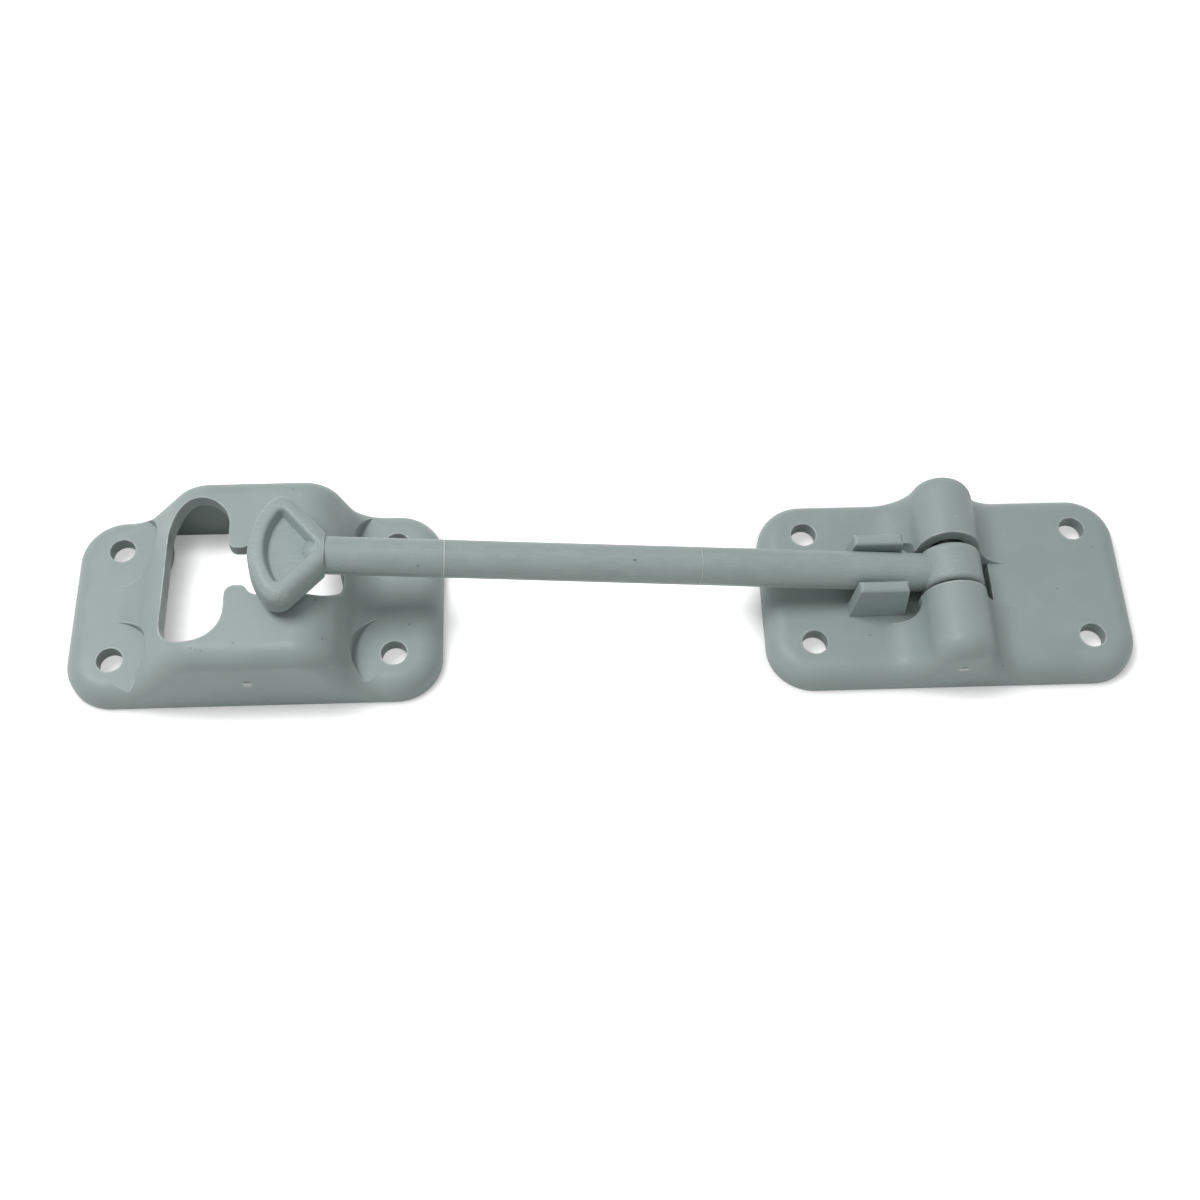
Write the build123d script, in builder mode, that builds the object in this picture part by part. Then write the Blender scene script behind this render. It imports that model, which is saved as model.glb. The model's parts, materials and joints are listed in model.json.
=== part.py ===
from build123d import *
import os
from math import asin, atan2, cos, hypot, radians, sin, sqrt, tan

# Door catch: a hinge base with a swinging T-headed arm, and the socket plate that traps the T.
# Millimetres. The mounting surface is Z = 0 and the arm runs along X, hinge at +X, socket at -X.

# Screw-on plates, alike on the hinge base and the socket
plate_length = 81.2
plate_width = 44.8
plate_corner_radius = 10.0
flange_height = 6.0
flange_edge_radius = 4.4
flange_wall = 3.5
rim_width = 4.0
screw_hole_diameter = 5.6
screw_spacing_x = 61.0
screw_spacing_y = 27.0

# Hinge knuckles on the base
hinge_height = 11.0
knuckle_radius = 7.0
knuckle_flank_radius = 8.0
window_clearance = 0.8
window_far_clearance = 5.4
front_eye_gap = 1.0
rear_eye_gap = 1.9
rear_foot_gap = 0.4

# Hinge pin and its bores
pin_radius = 2.5
pin_press_clearance = 0.02
pin_running_clearance = 0.08
pin_end_chamfer = 0.4
pin_end_recess = 1.2
blind_wall = 4.0
bore_relief_radius = 4.5
bore_relief_depth = 2.0

# Parking clip beside the knuckles
clip_clearance = 0.3
clip_near = 10.2
clip_length = 12.3
clip_height = 16.8
clip_thickness = 3.0
clip_top_draw = 0.4
clip_end_slant = 1.1
clip_near_slant = 0.7
clip_edge_radius = 0.8
recess_margin = 2.0
recess_corner_radius = 2.6
recess_wall = 0.3

# Arm, and how far beyond its tip the middle of the socket plate lies
arm_length = 151.2
socket_beyond_tip = 1.2
eye_radius = 6.8
eye_width = 9.0
eye_edge_radius = 1.3
rod_diameter_hinge = 8.4
rod_diameter_head = 8.0
arm_rest_clearance = 0.3

# T head of the arm
head_length = 15.8
head_tip_radius = 18.0
head_side_angle = 48.5
head_corner_radius = 3.6
head_thickness = 8.2
head_edge_radius = 2.2
head_rim_width = 3.3
head_pocket_depth = 2.4
head_pocket_draft = 20.0
head_pocket_corner_radius = 1.2
head_pocket_edge_radius = 0.9
rod_nose_radius = 3.4
rod_nose_reach = 0.9

# Hood of the socket plate: its flat top, from the centre of the plate, and the flanks at both ends
hood_height = 21.8
hood_top_left = -8.7
hood_top_right = 11.3
left_slope = 50.0
left_shoulder_radius = 10.0
left_foot_radius = 9.0
right_slope = 70.0
right_shoulder_radius = 8.5
right_foot_radius = 7.0
hood_wall = 2.8
hood_side_wall = 1.6
hood_inner_corner = 1.0
scallop_radius = 9.0

# T slot through the hood
mouth_margin = 5.1
mouth_width = 14.6
mouth_offset = -2.1
neck_width = 9.0
lip_nose_radius = 2.0
lip_length = 4.2
seat_reach = 9.2
seat_width = 13.8
seat_near_radius = 3.0
seat_far_radius = 5.5
slot_draft = 3.0

# Depth by which joined shapes run into each other
weld = 0.05

# Derived places
plate_spacing = arm_length + socket_beyond_tip
hinge_x = plate_spacing / 2
socket_x = -plate_spacing / 2
pocket_depth = flange_height - flange_wall
base_floor = Plane((hinge_x, 0, 0))
base_side = Plane(origin=(hinge_x, 0, 0), x_dir=(1, 0, 0), z_dir=(0, -1, 0))
base_end = Plane(origin=(hinge_x, 0, 0), x_dir=(0, 1, 0), z_dir=(1, 0, 0))
socket_floor = Plane((socket_x, 0, 0))
socket_side = Plane(origin=(socket_x, 0, 0), x_dir=(1, 0, 0), z_dir=(0, -1, 0))

# The rod rests on the rounded shoulder of the hood, which sets the slope of the arm
shoulder_run = plate_spacing - hood_top_right
shoulder_rise = hood_height - right_shoulder_radius - hinge_height
rest_gap = rod_diameter_head / 2 + arm_rest_clearance + right_shoulder_radius
rest_slope = atan2(shoulder_rise, shoulder_run) + asin(rest_gap / hypot(shoulder_run, shoulder_rise))
toward_head = Vector(-cos(rest_slope), 0, sin(rest_slope))
above_arm = Vector(sin(rest_slope), 0, cos(rest_slope))
hinge_point = Vector(hinge_x, 0, hinge_height)
arm_plane = Plane(origin=hinge_point, x_dir=toward_head, z_dir=above_arm)
arm_cross = Plane(origin=hinge_point, x_dir=(0, 1, 0), z_dir=toward_head)
eye_plane = Plane(origin=hinge_point, x_dir=(1, 0, 0), z_dir=(0, -1, 0))

# Faces of the knuckles that the eye runs between: the front one upright, the rear one leaning back
front_cheek = -eye_width / 2 - front_eye_gap
rear_cheek = eye_width / 2 + rear_eye_gap
rear_cheek_foot = eye_width / 2 + rear_foot_gap
knuckle_top = hinge_height + knuckle_radius
eye_chord = sqrt(eye_radius**2 - (hinge_height - flange_height) ** 2)
window_near = eye_chord + window_clearance
window_far = eye_chord + window_far_clearance


def drill_screw_holes(floor):
    """Four screw holes through the flange of the plate on this floor."""
    with BuildSketch(floor) as holes:
        with GridLocations(screw_spacing_x, screw_spacing_y, 2, 2):
            Circle(screw_hole_diameter / 2)
    extrude(holes.sketch, amount=flange_height, mode=Mode.SUBTRACT)


def hollow_flange(floor):
    """Shallow pocket under the flange, inside a rim that bears on the mounting surface."""
    with BuildSketch(floor) as pocket:
        RectangleRounded(
            plate_length - 2 * rim_width,
            plate_width - 2 * rim_width,
            plate_corner_radius - rim_width,
        )
    extrude(pocket.sketch, amount=pocket_depth, mode=Mode.SUBTRACT)


def soften_top(plate):
    """Soft edge all round the top, over the flange and the ends of what rises from it alike."""
    upper_edges = plate.edges().filter_by(lambda e: e.bounding_box().min.Z > flange_height - weld)
    cross_seams = upper_edges.filter_by(Axis.Y).filter_by(lambda e: e.length > plate_width - weld)
    fillet(upper_edges - cross_seams, flange_edge_radius)


# One prong of the parking clip: its ends slant and its outer face draws in towards the top
prong_inside = rod_diameter_hinge / 2 + clip_clearance
prong_far = -clip_near - clip_length
with BuildPart() as prong:
    with BuildSketch(base_end.offset(prong_far)):
        with BuildLine():
            Polyline(
                (prong_inside, flange_height - weld),
                (prong_inside + clip_thickness, flange_height - weld),
                (prong_inside + clip_thickness - clip_top_draw, clip_height),
                (prong_inside, clip_height),
                close=True,
            )
        make_face()
    extrude(amount=clip_length)
    with BuildSketch(base_side):
        with BuildLine():
            Polyline(
                (prong_far, flange_height - weld),
                (-clip_near, flange_height - weld),
                (-clip_near - clip_near_slant, clip_height),
                (prong_far + clip_end_slant, clip_height),
                close=True,
            )
        make_face()
    extrude(amount=plate_width, both=True, mode=Mode.INTERSECT)
    prong_top = prong.faces().sort_by(Axis.Z)[-1]
    fillet(prong_top.edges(), clip_edge_radius)

# Hinge base: the flange swells through concave flanks into the knuckle barrel
flank_rise = flange_height + knuckle_flank_radius - hinge_height
flank_reach = sqrt((knuckle_radius + knuckle_flank_radius) ** 2 - flank_rise**2)
flank_share = knuckle_radius / (knuckle_radius + knuckle_flank_radius)
knuckle_side = (flank_share * flank_reach, hinge_height + flank_share * flank_rise)
with BuildPart() as hinge_base:
    with BuildSketch(base_side):
        with BuildLine():
            Line((-plate_length / 2, 0), (-plate_length / 2, flange_height))
            Line((-plate_length / 2, flange_height), (-flank_reach, flange_height))
            TangentArc((-flank_reach, flange_height), (-knuckle_side[0], knuckle_side[1]), tangent=(1, 0))
            ThreePointArc(
                (-knuckle_side[0], knuckle_side[1]),
                (0, knuckle_top),
                knuckle_side,
            )
            TangentArc((flank_reach, flange_height), knuckle_side, tangent=(-1, 0))
            Line((flank_reach, flange_height), (plate_length / 2, flange_height))
            Line((plate_length / 2, flange_height), (plate_length / 2, 0))
            Line((plate_length / 2, 0), (-plate_length / 2, 0))
        make_face()
    extrude(amount=plate_width / 2, both=True)
    with BuildSketch(base_floor):
        RectangleRounded(plate_length, plate_width, plate_corner_radius)
    extrude(amount=knuckle_top, mode=Mode.INTERSECT)

    soften_top(hinge_base)

    hollow_flange(base_floor)
    drill_screw_holes(base_floor)

    # Recess that lets the clip prongs stand clear of the flank
    recess_near = -knuckle_radius - recess_wall
    recess_half_width = prong_inside + clip_thickness + recess_margin
    with BuildSketch(base_floor.offset(flange_height)):
        with Locations(((recess_near + prong_far) / 2, 0)):
            recess = Rectangle(recess_near - prong_far, 2 * recess_half_width)
        fillet(recess.vertices().group_by(Axis.X)[-1], recess_corner_radius)
    extrude(amount=knuckle_top, mode=Mode.SUBTRACT)

    # Gap for the eye between the knuckles, and the window under it
    with BuildSketch(base_end):
        with BuildLine():
            Polyline(
                (front_cheek, flange_height),
                (rear_cheek_foot, flange_height),
                (rear_cheek, knuckle_top),
                (front_cheek, knuckle_top),
                close=True,
            )
        make_face()
    extrude(amount=flank_reach, both=True, mode=Mode.SUBTRACT)
    with BuildSketch(base_floor):
        with Locations(((window_far - window_near) / 2, (front_cheek + rear_cheek_foot) / 2)):
            Rectangle(window_far + window_near, rear_cheek_foot - front_cheek)
    extrude(amount=flange_height, mode=Mode.SUBTRACT)

    # Pin bore from the rear, blind at the front, with a relief beside the eye
    with BuildSketch(eye_plane.offset(-plate_width / 2)):
        Circle(pin_radius + pin_press_clearance)
    extrude(amount=plate_width - blind_wall, mode=Mode.SUBTRACT)
    with BuildSketch(eye_plane.offset(-rear_cheek - bore_relief_depth)):
        Circle(bore_relief_radius)
    extrude(amount=bore_relief_depth + rear_cheek - rear_cheek_foot, mode=Mode.SUBTRACT)

    add(prong.part)
    add(mirror(prong.part, about=Plane.XZ, mode=Mode.PRIVATE))

# Hinge pin
pin_rear = plate_width / 2 - pin_end_recess
pin_front = -plate_width / 2 + blind_wall + pin_end_chamfer
with BuildPart() as hinge_pin:
    with BuildSketch(eye_plane.offset(-pin_rear)):
        Circle(pin_radius)
    extrude(amount=pin_rear - pin_front)
    chamfer(hinge_pin.edges().filter_by(GeomType.CIRCLE), pin_end_chamfer)

# T head: a fan with a rounded tip, soft edges and a pocket in both faces
head_root = arm_length - head_length
tip_centre = arm_length - head_tip_radius
rod_half = rod_diameter_head / 2
side_rise = tan(radians(head_side_angle))


def fan_side(inset):
    """Half width of the fan, set in by this much, at the centre of its tip arc."""
    return rod_half + (tip_centre - head_root) * side_rise - inset / cos(radians(head_side_angle))


def fan_corner(inset):
    """Point where the straight side of the fan, set in by this much, meets its tip arc."""
    half = fan_side(inset)
    tip_radius = head_tip_radius - inset
    square = 1 + side_rise**2
    run = (sqrt((half * side_rise) ** 2 - square * (half**2 - tip_radius**2)) - half * side_rise) / square
    return tip_centre + run, half + run * side_rise


corner_x, corner_y = fan_corner(0)
pocket_x, pocket_y = fan_corner(head_rim_width)
pocket_apex = tip_centre - fan_side(head_rim_width) / side_rise

# Construction shape: the pocket in one face of the head, less the round end of the rod that shows in it
with BuildPart() as head_pocket:
    with BuildSketch(arm_plane.offset(head_thickness / 2)) as outline:
        with BuildLine():
            Polyline((pocket_x, -pocket_y), (pocket_apex, 0), (pocket_x, pocket_y))
            ThreePointArc(
                (pocket_x, pocket_y),
                (arm_length - head_rim_width, 0),
                (pocket_x, -pocket_y),
            )
        make_face()
        fillet(outline.vertices(), head_pocket_corner_radius)
    extrude(amount=-head_pocket_depth, taper=head_pocket_draft)
    with Locations(hinge_point + toward_head * (pocket_apex + rod_nose_reach)):
        Sphere(rod_nose_radius, mode=Mode.SUBTRACT)

with BuildPart() as head:
    with BuildSketch(arm_plane.offset(-head_thickness / 2)) as fan:
        with BuildLine():
            Polyline(
                (corner_x, -corner_y),
                (head_root, -rod_half),
                (head_root, rod_half),
                (corner_x, corner_y),
            )
            ThreePointArc((corner_x, corner_y), (arm_length, 0), (corner_x, -corner_y))
        make_face()
        fillet(fan.vertices().group_by(Axis.X)[-1], head_corner_radius)
    extrude(amount=head_thickness)
    root_face = head.faces().sort_by(Axis.X)[-1]
    flat_faces = head.faces().filter_by(arm_plane)
    fillet(flat_faces.edges() - root_face.edges(), head_edge_radius)
    add(head_pocket.part, mode=Mode.SUBTRACT)
    add(mirror(head_pocket.part, about=arm_plane, mode=Mode.PRIVATE), mode=Mode.SUBTRACT)
    flat_faces = head.faces().filter_by(arm_plane)
    pocket_rims = ShapeList(wire for face in flat_faces for wire in face.inner_wires())
    fillet(pocket_rims.edges(), head_pocket_edge_radius)

# Arm: eye, slightly tapered rod and T head
with BuildPart() as catch_arm:
    with BuildSketch(eye_plane.offset(-eye_width / 2)):
        Circle(eye_radius)
    extrude(amount=eye_width)
    fillet(catch_arm.edges().filter_by(GeomType.CIRCLE), eye_edge_radius)
    with BuildSketch(arm_cross):
        Circle(rod_diameter_hinge / 2)
    with BuildSketch(arm_cross.offset(head_root + rod_half / 2)):
        Circle(rod_half)
    loft()
    add(head.part)
    with BuildSketch(eye_plane.offset(-eye_width / 2)):
        Circle(pin_radius + pin_running_clearance)
    extrude(amount=eye_width, mode=Mode.SUBTRACT)

# Flanks of the hood: a round shoulder, a straight slope and a concave foot on the flange


def flank(side, top_end, slope, shoulder_radius, foot_radius):
    """Ends of the shoulder, the slope and the foot on one side of the hood, in its side view."""
    lean = radians(slope)
    shoulder_z = hood_height - shoulder_radius * (1 - cos(lean))
    slope_z = flange_height + foot_radius * (1 - cos(lean))
    shoulder_x = top_end + side * shoulder_radius * sin(lean)
    slope_x = shoulder_x + side * (shoulder_z - slope_z) / tan(lean)
    foot_x = slope_x + side * foot_radius * sin(lean)
    return (shoulder_x, shoulder_z), (slope_x, slope_z), (foot_x, flange_height)


left_shoulder, left_slope_end, left_foot = flank(
    -1, hood_top_left, left_slope, left_shoulder_radius, left_foot_radius
)
right_shoulder, right_slope_end, right_foot = flank(
    1, hood_top_right, right_slope, right_shoulder_radius, right_foot_radius
)

# Construction shape: the space inside the hood, one wall in from its flanks and from the screw scallops
with BuildPart() as hood_space:
    with BuildSketch(socket_side) as section:
        with BuildLine():
            Line((hood_top_left, hood_height), (hood_top_right, hood_height))
            TangentArc((hood_top_right, hood_height), right_shoulder, tangent=(1, 0))
            Line(right_shoulder, right_slope_end)
            Polyline(
                right_slope_end,
                (right_slope_end[0], -hood_wall),
                (left_slope_end[0], -hood_wall),
                left_slope_end,
            )
            Line(left_slope_end, left_shoulder)
            TangentArc((hood_top_left, hood_height), left_shoulder, tangent=(-1, 0))
        make_face()
        offset(amount=-hood_wall)
    extrude(amount=plate_width, both=True)
    with BuildSketch(socket_floor):
        with Locations(((left_slope_end[0] + right_slope_end[0]) / 2, 0)):
            RectangleRounded(
                right_slope_end[0] - left_slope_end[0] - 2 * hood_side_wall,
                plate_width - 2 * hood_side_wall,
                hood_inner_corner,
            )
    extrude(amount=hood_height, mode=Mode.INTERSECT)
    with BuildSketch(socket_floor):
        with GridLocations(screw_spacing_x, screw_spacing_y, 2, 2):
            Circle(scallop_radius + hood_side_wall)
    extrude(amount=hood_height, mode=Mode.SUBTRACT)

# Socket plate: the flange swells into the hood, hollow underneath, with the lipped T slot through it
with BuildPart() as socket_plate:
    with BuildSketch(socket_side):
        with BuildLine():
            Polyline(left_foot, (-plate_length / 2, flange_height), (-plate_length / 2, 0))
            Polyline(
                (-plate_length / 2, 0),
                (plate_length / 2, 0),
                (plate_length / 2, flange_height),
                right_foot,
            )
            TangentArc(right_foot, right_slope_end, tangent=(-1, 0))
            Line(right_slope_end, right_shoulder)
            TangentArc((hood_top_right, hood_height), right_shoulder, tangent=(1, 0))
            Line((hood_top_right, hood_height), (hood_top_left, hood_height))
            TangentArc((hood_top_left, hood_height), left_shoulder, tangent=(-1, 0))
            Line(left_shoulder, left_slope_end)
            TangentArc(left_foot, left_slope_end, tangent=(1, 0))
        make_face()
    extrude(amount=plate_width / 2, both=True)
    with BuildSketch(socket_floor):
        RectangleRounded(plate_length, plate_width, plate_corner_radius)
    extrude(amount=hood_height, mode=Mode.INTERSECT)
    soften_top(socket_plate)

    hollow_flange(socket_floor)
    add(hood_space.part, mode=Mode.SUBTRACT)
    with BuildSketch(socket_floor.offset(flange_height)):
        with GridLocations(screw_spacing_x, screw_spacing_y, 2, 2):
            Circle(scallop_radius)
    extrude(amount=hood_height, mode=Mode.SUBTRACT)
    drill_screw_holes(socket_floor)

    # T slot: a mouth that takes the head endways, lips beside the neck, and the seat under the rod
    mouth_x = hood_top_left + mouth_offset
    seat_near = mouth_x + mouth_width / 2 + lip_length
    seat_far = hood_top_right + seat_reach
    with BuildSketch(socket_floor.offset(hood_height)) as slot:
        with Locations(((seat_near + seat_far) / 2, 0)):
            Rectangle(seat_far - seat_near, seat_width)
        fillet(slot.vertices().group_by(Axis.X)[-1], seat_far_radius)
        fillet(slot.vertices().group_by(Axis.X)[0], seat_near_radius)
        with Locations((mouth_x, 0)):
            SlotOverall(plate_width - 2 * mouth_margin, mouth_width, rotation=90)
        with Locations(((mouth_x + seat_near + seat_near_radius) / 2, 0)):
            Rectangle(seat_near + seat_near_radius - mouth_x, neck_width)
        lips = slot.vertices().filter_by(lambda v: abs(abs(v.Y) - neck_width / 2) < weld)
        fillet(lips, lip_nose_radius)
    extrude(slot.sketch, amount=pocket_depth - hood_height, taper=slot_draft, mode=Mode.SUBTRACT)

pieces = {
    "hinge_base": hinge_base,
    "hinge_pin": hinge_pin,
    "catch_arm": catch_arm,
    "socket_plate": socket_plate,
}
os.makedirs("parts", exist_ok=True)
for node, piece in pieces.items():
    piece.part.label = node
    export_step(piece.part, f"parts/{node}.step")
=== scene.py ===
import json
import math

import bpy
from mathutils import Matrix, Vector

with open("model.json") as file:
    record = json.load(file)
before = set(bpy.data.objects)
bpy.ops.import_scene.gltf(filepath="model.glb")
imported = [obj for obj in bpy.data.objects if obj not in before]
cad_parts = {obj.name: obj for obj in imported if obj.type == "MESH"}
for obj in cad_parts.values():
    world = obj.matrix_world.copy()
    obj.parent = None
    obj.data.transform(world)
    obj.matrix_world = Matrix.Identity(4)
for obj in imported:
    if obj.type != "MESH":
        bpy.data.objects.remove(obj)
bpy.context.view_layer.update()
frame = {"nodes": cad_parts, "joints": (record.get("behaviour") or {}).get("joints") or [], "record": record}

scene = bpy.context.scene
MM = 0.001

# Hinge axis and the arm's own directions at rest
HINGE = Vector(frame["joints"][0]["pos_m"])
ARM_SLOPE = math.radians(6.138)
ALONG_ARM = Vector((-math.cos(ARM_SLOPE), 0, math.sin(ARM_SLOPE)))
ABOVE_ARM = Vector((math.sin(ARM_SLOPE), 0, math.cos(ARM_SLOPE)))

# Grey-green moulded plastic, what marks it, and its painted highlights and shade
GREY = (0.315, 0.382, 0.366)
GREY_PALE = (0.352, 0.42, 0.404)
GREY_DEEP = (0.282, 0.345, 0.33)
GREY_WORN = (0.362, 0.43, 0.41)
SCUFF = (0.5, 0.555, 0.53)
# Dark specks and parting line; also painted shade beside the rings on the rod and on the gate's upper lip
DARK_SPECK_AND_SHADE = (0.085, 0.1, 0.094)
TORN_PALE_AND_LIT = (0.68, 0.7, 0.66)
EDGE_WEAR_AND_HIGHLIGHT = (0.64, 0.7, 0.675)
EDGE_ROUND = 0.35 * MM
EDGE_MASK_REACH = 0.45 * MM
PLASTIC_RELIEF = 0.12 * MM
PLASTIC_IOR = 1.47
STREAKS_ALONG = 300
STREAKS_ACROSS = 1900
PARTING_CORE = 0.06 * MM
PARTING_RIM = 0.16 * MM
GATE_DEPTH = 1.1 * MM

# Steel of the pin
STEEL_DULL = (0.4, 0.4, 0.39)
STEEL_BRIGHT = (0.62, 0.62, 0.6)
TARNISH = (0.22, 0.2, 0.18)
STEEL_LINES = (1800, 30, 1800)
STEEL_RELIEF = 0.05 * MM

# White floor, with painted shadow beside the part and under the hinge, and painted light in the screw holes
PAPER_DULL = (0.68, 0.68, 0.68)
PAPER_BRIGHT = (0.72, 0.72, 0.72)
PAPER_RELIEF = 0.1 * MM
FLOOR_SIZE = 6
FLOOR_DROP = 0.1 * MM
FLOOR_GLOW = 0.9
SHADE_REACH = 6.5 * MM
SHADE_LEVEL = 0.25
HOLE_LIGHT_SPOT = 7.5 * MM
HOLE_LIGHT_LEVEL = 0.6
HINGE_SHADE_SPOT = 14 * MM

# Light and camera
WHITE = (1, 1, 1, 1)
WORLD_LEVEL = 0.4
KEY_WATTS = 3.55
KEY_PLACE = Vector((-0.3, 0.1, 0.72))
KEY_SIZE = 0.34
CAMERA_SENSOR = 36
CAMERA_LENS = 46.66
CAMERA_NEAR = 10 * MM
CAMERA_ELEVATION = math.radians(62.0)
CAMERA_YAW = math.radians(3.35)
CAMERA_ROLL = math.radians(1.54)
CAMERA_TARGET = Vector((-0.58, 1.34, 0)) * MM
CAMERA_DISTANCE = 349.4 * MM


class Graph:
    """Shorthand for building one material's nodes."""

    def __init__(self, name):
        self.material = bpy.data.materials.new(name)
        self.material.use_nodes = True
        self.tree = self.material.node_tree
        self.shader = self.tree.nodes["Principled BSDF"]
        self.place = self.node("TexCoord").outputs["Object"]

    def node(self, kind, **settings):
        made = self.tree.nodes.new("ShaderNode" + kind)
        for key, value in settings.items():
            setattr(made, key, value)
        return made

    def feed(self, socket, value):
        """Links a node's output to the socket, or sets a plain value on it."""
        if isinstance(value, bpy.types.NodeSocket):
            self.tree.links.new(value, socket)
        else:
            socket.default_value = value

    def math(self, operation, a, b=0.0, clamp=False):
        made = self.node("Math", operation=operation, use_clamp=clamp)
        self.feed(made.inputs[0], a)
        self.feed(made.inputs[1], b)
        return made.outputs[0]

    def vector(self, operation, a, b=(0, 0, 0)):
        made = self.node("VectorMath", operation=operation)
        self.feed(made.inputs[0], a)
        self.feed(made.inputs[1], b)
        return made

    def axes(self, vector):
        made = self.node("SeparateXYZ")
        self.feed(made.inputs[0], vector)
        return made.outputs

    def noise(self, scale, detail=2.0, place=None):
        """Smooth noise from 0 to 1, its scale in cells per metre."""
        made = self.node("TexNoise")
        self.feed(made.inputs["Vector"], place or self.place)
        made.inputs["Scale"].default_value = scale
        made.inputs["Detail"].default_value = detail
        return made.outputs["Fac"]

    def ramp(self, value, low, high, to_low=0.0, to_high=1.0, smooth=False):
        """Maps low and high to the other two values, and stays level beyond them."""
        made = self.node("MapRange", interpolation_type="SMOOTHSTEP" if smooth else "LINEAR")
        self.feed(made.inputs["Value"], value)
        made.inputs["From Min"].default_value = low
        made.inputs["From Max"].default_value = high
        made.inputs["To Min"].default_value = to_low
        made.inputs["To Max"].default_value = to_high
        return made.outputs["Result"]

    def stray(self, scale, amount):
        """Noise that wanders by this amount to both sides of 0."""
        return self.ramp(self.noise(scale), 0.3, 0.7, -amount, amount)

    def mix(self, factor, a, b):
        made = self.node("Mix", data_type="RGBA")
        self.feed(made.inputs["Factor"], factor)
        first, second = [socket for socket in made.inputs if socket.type == "RGBA"]
        for socket, colour in ((first, a), (second, b)):
            self.feed(socket, colour if isinstance(colour, bpy.types.NodeSocket) else (*colour, 1))
        return [socket for socket in made.outputs if socket.type == "RGBA"][0]

    def bump(self, height, strength, distance, normal=None):
        made = self.node("Bump")
        made.inputs["Strength"].default_value = strength
        made.inputs["Distance"].default_value = distance
        self.feed(made.inputs["Height"], height)
        if normal is not None:
            self.feed(made.inputs["Normal"], normal)
        return made.outputs["Normal"]

    def away(self, centre, stretch):
        """Offset from a place and its length, with each axis measured in its own stretch."""
        offset = self.vector("SUBTRACT", self.place, centre).outputs[0]
        offset = self.vector("DIVIDE", offset, stretch).outputs[0]
        return offset, self.vector("LENGTH", offset).outputs["Value"]

    def spot(self, centre, radius, ragged=0.0, stretch=(1, 1, 1)):
        """Mask of one small mark at this place, its outline broken up where ragged is above 0."""
        _, reach = self.away(centre, stretch)
        if ragged:
            reach = self.math("ADD", reach, self.stray(1700, ragged * radius))
        return self.ramp(reach, radius * 0.72, radius, 1.0, 0.0, smooth=True)

    def specks(self, scale, share, radius, shift):
        """Mask of scattered specks: cells of this scale, a small share of which hold one."""
        cells = self.node("TexVoronoi")
        self.feed(cells.inputs["Vector"], self.vector("ADD", self.place, (shift, shift, shift)).outputs[0])
        cells.inputs["Scale"].default_value = scale
        pick = self.node("SeparateColor")
        self.feed(pick.inputs[0], cells.outputs["Color"])
        chosen = self.math("GREATER_THAN", pick.outputs[0], 1 - share)
        size = self.math("MULTIPLY", pick.outputs[1], radius)
        inside = self.math("SUBTRACT", size, cells.outputs["Distance"])
        return self.math("MULTIPLY", chosen, self.ramp(inside, 0.0, radius * 0.25))


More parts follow.
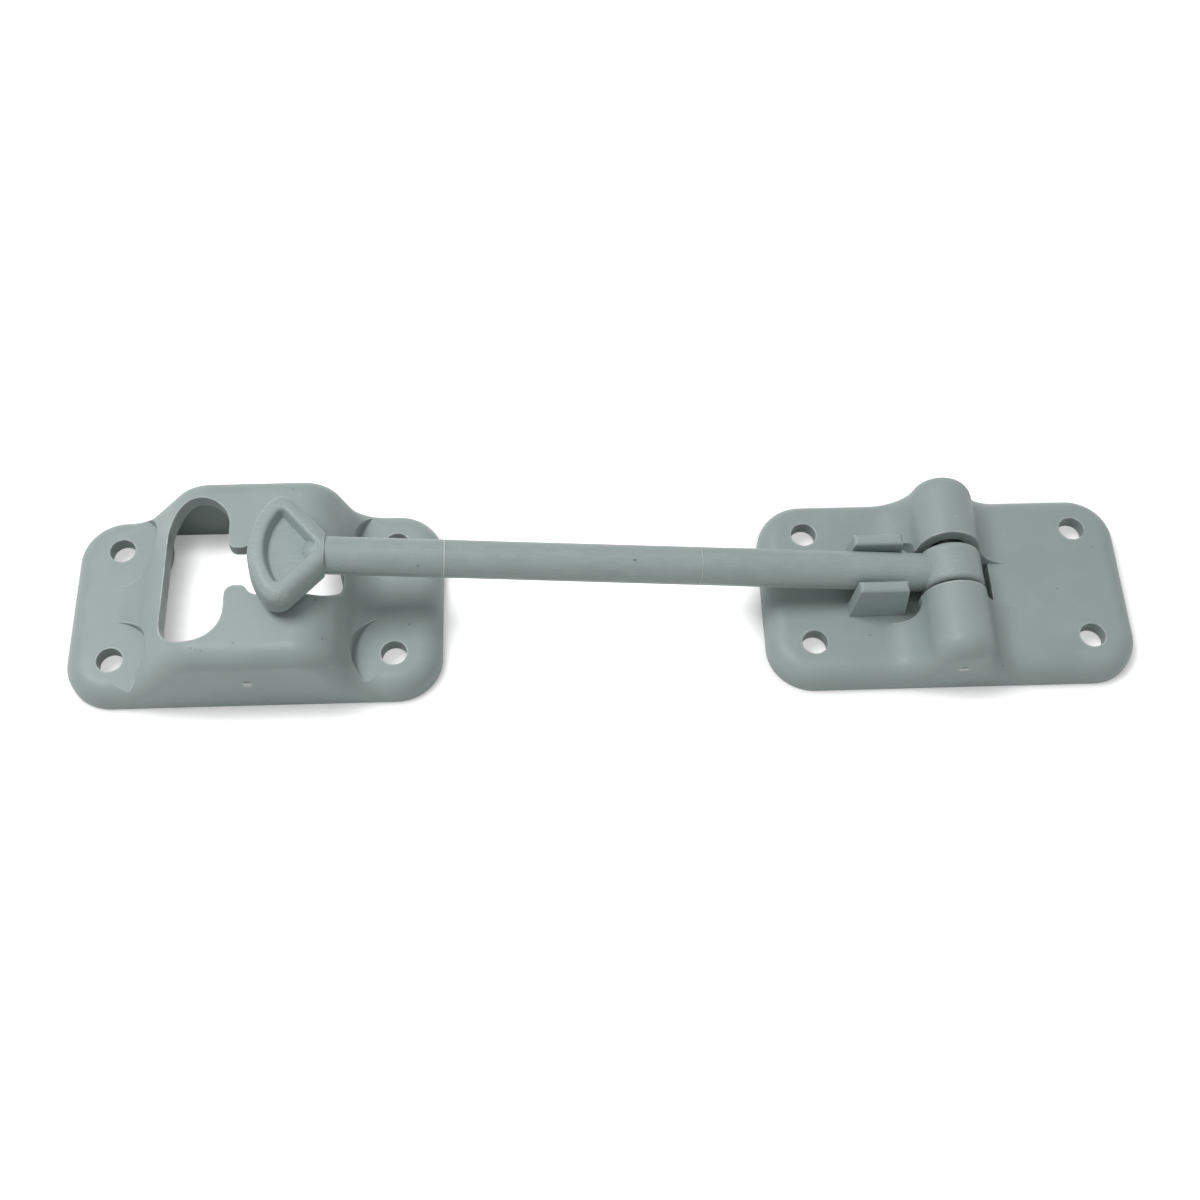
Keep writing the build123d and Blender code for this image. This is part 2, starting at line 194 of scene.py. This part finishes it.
class Plastic(Graph):
    """Matte moulded plastic, whose colour and height are built up in layers, some of them painted highlight
    and shade.
    """

    def __init__(self, name):
        super().__init__(name)
        self.colour = GREY_DEEP
        self.height = 0.0
        self.flow = self.noise(130)
        # Mask of the outer edges: worn edges and a painted edge highlight, also smoother there.
        corners = self.node("AmbientOcclusion", samples=3, inside=True, only_local=True)
        corners.inputs["Distance"].default_value = EDGE_MASK_REACH
        self.rubbed_and_highlit = self.ramp(corners.outputs["AO"], 0.93, 0.66)

    def paint(self, mask, colour, strength=1.0):
        self.colour = self.mix(self.math("MULTIPLY", mask, strength), self.colour, colour)

    def lift(self, mask, amount):
        self.height = self.math("ADD", self.height, self.math("MULTIPLY", mask, amount))

    def mould(self):
        """Cloudy tone, flow of the melt and fine grain."""
        grain = self.noise(2400)
        self.paint(self.ramp(self.noise(38, 3), 0.35, 0.68), GREY)
        self.paint(self.ramp(self.flow, 0.45, 0.75), GREY_PALE, 0.55)
        self.paint(self.ramp(grain, 0.3, 0.7), GREY_DEEP, 0.3)
        self.lift(grain, 0.5)
        self.lift(self.noise(620), 0.35)

    def draw_along_arm(self):
        """Streaks, parting line and pale flecks of the arm."""
        from_hinge = self.vector("SUBTRACT", self.place, HINGE).outputs[0]
        self.run = self.vector("DOT_PRODUCT", from_hinge, ALONG_ARM).outputs["Value"]
        level = self.vector("DOT_PRODUCT", from_hinge, ABOVE_ARM).outputs["Value"]
        lie = self.node("CombineXYZ")
        self.feed(lie.inputs["X"], self.math("MULTIPLY", self.run, STREAKS_ALONG))
        self.feed(lie.inputs["Y"], self.math("MULTIPLY", self.axes(self.place)["Y"], STREAKS_ACROSS))
        self.feed(lie.inputs["Z"], self.math("MULTIPLY", level, STREAKS_ACROSS))
        streaks = self.noise(1.0, 3, lie.outputs["Vector"])
        self.paint(self.ramp(streaks, 0.46, 0.74), GREY_WORN, 0.6)
        self.paint(self.ramp(streaks, 0.42, 0.26), GREY_DEEP, 0.45)
        self.lift(streaks, 0.7)
        off_level = self.math("ABSOLUTE", level)
        parting = self.ramp(off_level, PARTING_CORE, PARTING_RIM, 1.0, 0.0, smooth=True)
        self.paint(parting, DARK_SPECK_AND_SHADE, 0.5)
        self.lift(parting, 1.5)
        self.paint(self.specks(620, share=0.2, radius=0.17, shift=2.9), SCUFF, 0.4)

    def rub_and_light_edges(self):
        """Outer edges painted pale in patches: partly worn, partly a painted highlight along the edge."""
        patches = self.ramp(self.noise(420), 0.35, 0.65, 0.15, 0.7)
        # Pale paint on the edges: edge wear and a painted highlight.
        self.paint(self.math("MULTIPLY", self.rubbed_and_highlit, patches), EDGE_WEAR_AND_HIGHLIGHT)

    def ring(self, along, width, strength, wander):
        """Pale witness line round the rod, with painted shade at both sides, in millimetres from the hinge.
        """
        strayed = self.math("ADD", self.run, self.stray(750, wander * MM))
        off = self.math("ABSOLUTE", self.math("SUBTRACT", strayed, along * MM))
        line = self.ramp(off, width * MM * 0.35, width * MM * 0.6, 1.0, 0.0, smooth=True)
        whole = self.ramp(self.noise(1300), 0.35, 0.6, 1.0 - 3 * wander, 1.0)
        line = self.math("MULTIPLY", line, whole)
        shade = self.ramp(off, width * MM * 0.6, width * MM * 1.1, 1.0, 0.0, smooth=True)
        self.paint(shade, DARK_SPECK_AND_SHADE, 0.3)
        self.paint(line, SCUFF, strength)
        self.lift(line, 1.6)

    def speck(self, marks):
        """Dark specks, scattered and at the places given."""
        dark = self.math("MULTIPLY", self.specks(240, share=0.045, radius=0.075, shift=0.3), 0.42)
        for *place, radius, depth in marks:
            mark = self.spot(Vector(place) * MM, radius * MM, ragged=0.35)
            dark = self.math("MAXIMUM", dark, self.math("MULTIPLY", mark, depth))
        self.paint(dark, DARK_SPECK_AND_SHADE)

    def scuff(self, marks):
        """Pale scuffs, scattered and at the places given."""
        broken = self.ramp(self.noise(3800, 3), 0.5, 0.66, 0.08, 0.7)
        pale = self.math("MULTIPLY", self.specks(200, share=0.05, radius=0.07, shift=1.7), 0.45)
        for place, radius, stretch in marks:
            mark = self.spot(Vector(place) * MM, radius * MM, ragged=0.5, stretch=stretch)
            pale = self.math("MAXIMUM", pale, self.math("MULTIPLY", mark, broken))
        self.paint(pale, SCUFF)
        self.lift(pale, -0.8)

    def gate(self, place, half_width, half_height):
        """Torn stub of the gate on an upright face: its lower part pale, partly from the broken plastic and
        partly painted light on the upward-facing wall, with painted shade on the upper lip.
        """
        stretch = (half_width * MM, GATE_DEPTH, half_height * MM)
        offset, reach = self.away(Vector(place) * MM, stretch)
        upward = self.axes(offset)["Z"]
        inside = self.ramp(self.math("ADD", reach, self.stray(2300, 0.3)), 0.7, 1.0, 1.0, 0.0, smooth=True)
        lower = self.math("MULTIPLY", inside, self.ramp(upward, 0.15, 0.4, 1.0, 0.0))
        torn_and_lit = self.math("MULTIPLY", lower, self.ramp(upward, -0.9, -0.1))
        # Painted shade on the upper lip of the stub.
        self.paint(self.math("SUBTRACT", inside, lower), DARK_SPECK_AND_SHADE, 0.7)
        # Painted light on the lower wall of the stub, partly the pale broken plastic.
        self.paint(self.math("MULTIPLY", torn_and_lit, self.ramp(self.noise(3000), 0.4, 0.6, 0.6, 1.0)), TORN_PALE_AND_LIT)
        self.lift(torn_and_lit, -2.5)

    def finish(self):
        """Feeds the layers to the shader, with edges softened and a little smoother along the outer edges.
        """
        edges = self.node("Bevel", samples=4)
        edges.inputs["Radius"].default_value = EDGE_ROUND
        sheen = self.math("ADD", self.flow, self.math("MULTIPLY", self.rubbed_and_highlit, -0.2))
        relief = self.bump(self.height, 0.22, PLASTIC_RELIEF, edges.outputs["Normal"])
        self.feed(self.shader.inputs["Base Color"], self.colour)
        self.feed(self.shader.inputs["Roughness"], self.ramp(sheen, 0.3, 0.7, 0.42, 0.56))
        self.feed(self.shader.inputs["Normal"], relief)
        self.shader.inputs["IOR"].default_value = PLASTIC_IOR
        return self.material


def moulded_plastic(name, specks, scuffs, gates=(), rings=()):
    """Moulded plastic with its own marks. A piece with rings is drawn along the arm."""
    plastic = Plastic(name)
    plastic.mould()
    if rings:
        plastic.draw_along_arm()
    plastic.rub_and_light_edges()
    for ring in rings:
        plastic.ring(*ring)
    plastic.speck(specks)
    plastic.scuff(scuffs)
    for gate in gates:
        plastic.gate(*gate)
    return plastic.finish()


def drawn_steel(name):
    """Drawn wire: bright grey with fine lines along its length and a little tarnish."""
    g = Graph(name)
    lie = g.node("Mapping")
    g.feed(lie.inputs["Vector"], g.place)
    lie.inputs["Scale"].default_value = STEEL_LINES
    lines = g.noise(1.0, 2, lie.outputs["Vector"])
    tarnish = g.noise(350, 3)
    colour = g.mix(g.ramp(lines, 0.3, 0.7), STEEL_DULL, STEEL_BRIGHT)
    colour = g.mix(g.ramp(tarnish, 0.55, 0.75, 0.0, 0.5), colour, TARNISH)
    g.feed(g.shader.inputs["Base Color"], colour)
    g.feed(g.shader.inputs["Roughness"], g.ramp(tarnish, 0.3, 0.7, 0.28, 0.5))
    g.feed(g.shader.inputs["Normal"], g.bump(lines, 0.15, STEEL_RELIEF))
    g.shader.inputs["Metallic"].default_value = 1.0
    return g.material


def seen_rays(tree):
    """1 for what the camera sees directly, mirrored or through the part, 0 for the light on the part."""
    path = tree.nodes.new("ShaderNodeLightPath")
    total = path.outputs["Is Camera Ray"]
    for name in ("Is Glossy Ray", "Is Transmission Ray"):
        most = tree.nodes.new("ShaderNodeMath")
        most.operation = "MAXIMUM"
        tree.links.new(total, most.inputs[0])
        tree.links.new(path.outputs[name], most.inputs[1])
        total = most.outputs[0]
    return total


def screw_holes():
    """Where each screw hole opens on the floor."""
    places = []
    for mount in frame["record"]["mounts"]:
        if mount["kind"] == "bolt_pattern":
            half = Vector((mount["dims"]["spacing_x_mm"], mount["dims"]["spacing_y_mm"])) * MM / 2
            x, y, _ = mount["pos_m"]
            places += [Vector((x + i * half.x, y + j * half.y, 0)) for i in (-1, 1) for j in (-1, 1)]
    return places


def pale_paper(name):
    """White studio floor, a little uneven, with painted shadow close beside the plates and under the hinge,
    and painted light in the screw holes.
    """
    g = Graph(name)
    g.feed(g.shader.inputs["Base Color"], g.mix(g.noise(14, 3), PAPER_DULL, PAPER_BRIGHT))
    g.feed(g.shader.inputs["Normal"], g.bump(g.noise(900), 0.05, PAPER_RELIEF))
    g.shader.inputs["Roughness"].default_value = 0.95
    g.shader.inputs["Specular IOR Level"].default_value = 0.0
    g.shader.inputs["Emission Color"].default_value = WHITE
    # Painted shadow: the floor's glow dims close beside the part, by ambient occlusion.
    beside = g.node("AmbientOcclusion", samples=3)
    beside.inputs["Distance"].default_value = SHADE_REACH
    clear = g.ramp(beside.outputs["AO"], 0.68, 0.98, SHADE_LEVEL, 1.0)
    # Painted light: the glow is given back in the screw holes.
    for place in screw_holes():
        clear = g.math("MAXIMUM", clear, g.math("MULTIPLY", g.spot(place, HOLE_LIGHT_SPOT), HOLE_LIGHT_LEVEL))
    # Painted shade: the glow is taken away under the hinge.
    hinge_foot = Vector((HINGE.x, HINGE.y, 0))
    clear = g.math("SUBTRACT", clear, g.spot(hinge_foot, HINGE_SHADE_SPOT), clamp=True)
    glow = g.math("MULTIPLY", seen_rays(g.tree), FLOOR_GLOW)
    g.feed(g.shader.inputs["Emission Strength"], g.math("MULTIPLY", glow, clear))
    return g.material


# Marks that the pieces carry, in millimetres in the part's frame.
# A speck is x, y, z, radius and depth of tone. A scuff is its place, radius and stretch along x, y and z.
# A gate is its place, half width and half height. A ring is its distance from the hinge, width, strength
# and how far it wanders.
ROUND = (1, 1, 1)
socket_specks = [
    (-85.55, -18.95, 21.66, 0.4, 0.3),
    (-84.48, -19.36, 21.58, 0.28, 0.25),
    (-83.44, -19.54, 21.52, 0.34, 0.3),
    (-42.58, -6.65, 6.0, 0.34, 0.42),
    (-60.71, -7.92, 20.69, 0.36, 0.42),
    (-59.07, -16.44, 19.48, 0.34, 0.42),
    (-76.84, -18.12, 21.79, 0.28, 0.42),
    (-72.86, -22.4, 3.14, 0.26, 0.42),
    (-66.85, 18.98, 21.69, 0.3, 0.42),
]
socket_scuffs = [
    ((-76.81, -4.6, 21.7), 0.62, (0.5, 1.6, 1.0)),
    ((-57.76, -21.0, 15.05), 0.4, ROUND),
]
socket_gates = [((-75.71, -22.4, 10.73), 1.0, 2.0)]
base_specks = [
    (57.93, -12.14, 6.0, 0.34, 0.42),
    (85.53, -20.74, 6.84, 0.3, 0.42),
    (110.63, 8.58, 6.0, 0.26, 0.42),
    (100.88, -1.8, 6.0, 0.28, 0.42),
]
base_scuffs = [((77.55, 10.33, 17.87), 0.42, (1.5, 1.0, 1.0))]
base_gates = [((76.53, -22.4, 8.95), 1.4, 1.3)]
arm_specks = [
    (-38.88, -3.21, 25.81, 0.4, 0.42),
    (6.5, -1.16, 22.43, 0.34, 0.85),
]
arm_scuffs = [
    ((-67.25, -11.8, 29.93), 1.5, ROUND),
    ((-65.4, -11.8, 28.95), 1.1, ROUND),
    ((-61.68, -0.53, 27.54), 0.9, ROUND),
    ((-55.58, -3.49, 27.12), 0.4, ROUND),
    ((-72.34, -3.21, 30.79), 0.7, (1.0, 2.6, 1.0)),
]
arm_rings = [
    (110.7, 0.34, 1.0, 0.04),
    (56.0, 0.28, 0.75, 0.09),
]

# Each piece with its finish
looks = [
    ("hinge_base", "base_plastic", moulded_plastic("grey_base", base_specks, base_scuffs, base_gates)),
    ("socket_plate", "socket_plastic",
     moulded_plastic("grey_socket", socket_specks, socket_scuffs, socket_gates)),
    ("catch_arm", "arm_plastic", moulded_plastic("grey_arm", arm_specks, arm_scuffs, rings=arm_rings)),
    ("hinge_pin", "pin_steel", drawn_steel("pin_wire")),
]
for node, slot, material in looks:
    piece = frame["nodes"][node]
    piece.data.materials.clear()
    piece.data.materials.append(material)

# Floor, just under the plates
bpy.ops.mesh.primitive_plane_add(size=FLOOR_SIZE, location=(0, 0, -FLOOR_DROP))
floor = bpy.context.object
floor.name = "floor"
floor.data.materials.append(pale_paper("floor_paper"))

# Soft light from above and to the left, in an even white surround
key = bpy.data.lights.new("key", "AREA")
key.shape = "DISK"
key.size = KEY_SIZE
key.energy = KEY_WATTS
key_object = bpy.data.objects.new("key", key)
key_object.location = KEY_PLACE
key_object.rotation_euler = (-KEY_PLACE).to_track_quat("-Z", "Y").to_euler()
scene.collection.objects.link(key_object)

world = bpy.data.worlds.new("surround")
scene.world = world
world.use_nodes = True
sky = world.node_tree
background = sky.nodes["Background"]
background.inputs["Color"].default_value = WHITE
seen = sky.nodes.new("ShaderNodeMapRange")
sky.links.new(seen_rays(sky), seen.inputs["Value"])
seen.inputs["To Min"].default_value = WORLD_LEVEL
seen.inputs["To Max"].default_value = 1.0
sky.links.new(seen.outputs["Result"], background.inputs["Strength"])

# Camera at the viewing angle of the photograph
toward = Vector(
    (
        math.sin(CAMERA_YAW) * math.cos(CAMERA_ELEVATION),
        math.cos(CAMERA_YAW) * math.cos(CAMERA_ELEVATION),
        -math.sin(CAMERA_ELEVATION),
    )
)
level = Vector((math.cos(CAMERA_YAW), -math.sin(CAMERA_YAW), 0))
upward = level.cross(toward)
right = level * math.cos(CAMERA_ROLL) + upward * math.sin(CAMERA_ROLL)
up = upward * math.cos(CAMERA_ROLL) - level * math.sin(CAMERA_ROLL)
eye = CAMERA_TARGET - CAMERA_DISTANCE * toward
camera = bpy.data.cameras.new("camera")
camera.sensor_width = CAMERA_SENSOR
camera.lens = CAMERA_LENS
camera.clip_start = CAMERA_NEAR
camera_object = bpy.data.objects.new("camera", camera)
camera_object.matrix_world = Matrix.Translation(eye) @ Matrix((right, up, -toward)).transposed().to_4x4()
scene.collection.objects.link(camera_object)
scene.camera = camera_object

scene.view_settings.view_transform = "Standard"
